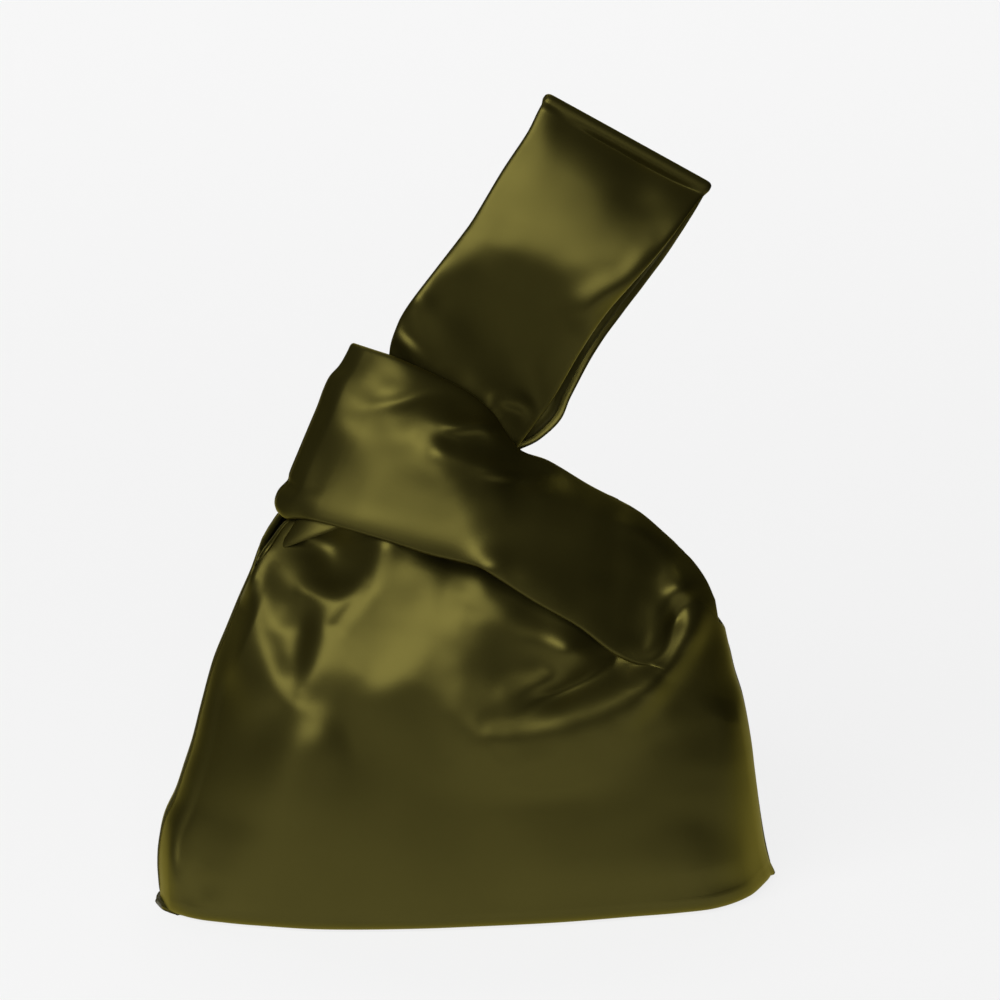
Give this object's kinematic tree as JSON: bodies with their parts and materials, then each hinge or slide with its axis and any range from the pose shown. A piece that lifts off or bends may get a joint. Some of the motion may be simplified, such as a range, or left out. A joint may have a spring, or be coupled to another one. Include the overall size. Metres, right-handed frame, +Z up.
{
  "type": "knot bag",
  "caption": "soft satin wrist bag: a padded pouch whose short strap loop wraps the gathered neck of a long strap handle, standing upright with the handle leaning to one side",
  "frame": {"origin": "middle of the base's bounding box, on the ground that the bag stands on", "axes": "X from the left side seam to the right one, Y from the front to the back, Z up; the front is the side in the picture, where the strap loop crosses the bag"},
  "size_m": [0.2629, 0.117, 0.345],
  "materials": {
    "satin": "heavy olive satin with a broad soft sheen",
    "lining": "olive lining satin, duller than the outside",
    "seam": "matt pressed seam allowance"
  },
  "bodies": {
    "pouch": {"pouch_front_outer": "satin", "neck_front": "satin", "shoulder_front_outer": "satin", "pouch_front_lining": "lining", "shoulder_front_lining": "lining", "pouch_back_outer": "satin", "neck_back": "satin", "shoulder_back_outer": "satin", "pouch_back_lining": "lining", "shoulder_back_lining": "lining", "side_seam_left": "seam", "side_seam_right": "seam", "base_seam": "seam"},
    "knot_loop": {"knot_loop_front_outer": "satin", "knot_loop_front_lining": "lining", "knot_loop_back_outer": "satin", "knot_loop_back_lining": "lining", "knot_loop_seam": "seam"},
    "handle_base": {"handle_throat_front": "satin", "handle_throat_back": "satin"},
    "handle_loop": {"handle_front_outer": "satin", "handle_front_lining": "lining", "handle_back_outer": "satin", "handle_back_lining": "lining", "handle_seam": "seam"}
  },
  "joints": [
    {"name": "loop_slide", "type": "slide", "parent": "pouch", "child": "knot_loop", "axis": [0.5373, 0, 0.8434], "range_m": [0, 0.008]},
    {"name": "handle_tilt", "type": "hinge", "parent": "pouch", "child": "handle_base", "pos_m": [0, 0, 0.2208], "axis": [0, 1, 0], "range_deg": [-24, 30]},
    {"name": "handle_fold", "type": "hinge", "parent": "handle_base", "child": "handle_loop", "pos_m": [0.00969, 0, 0.23601], "axis": [0.8434, 0, -0.5373], "range_deg": [-75, 75]}
  ]
}
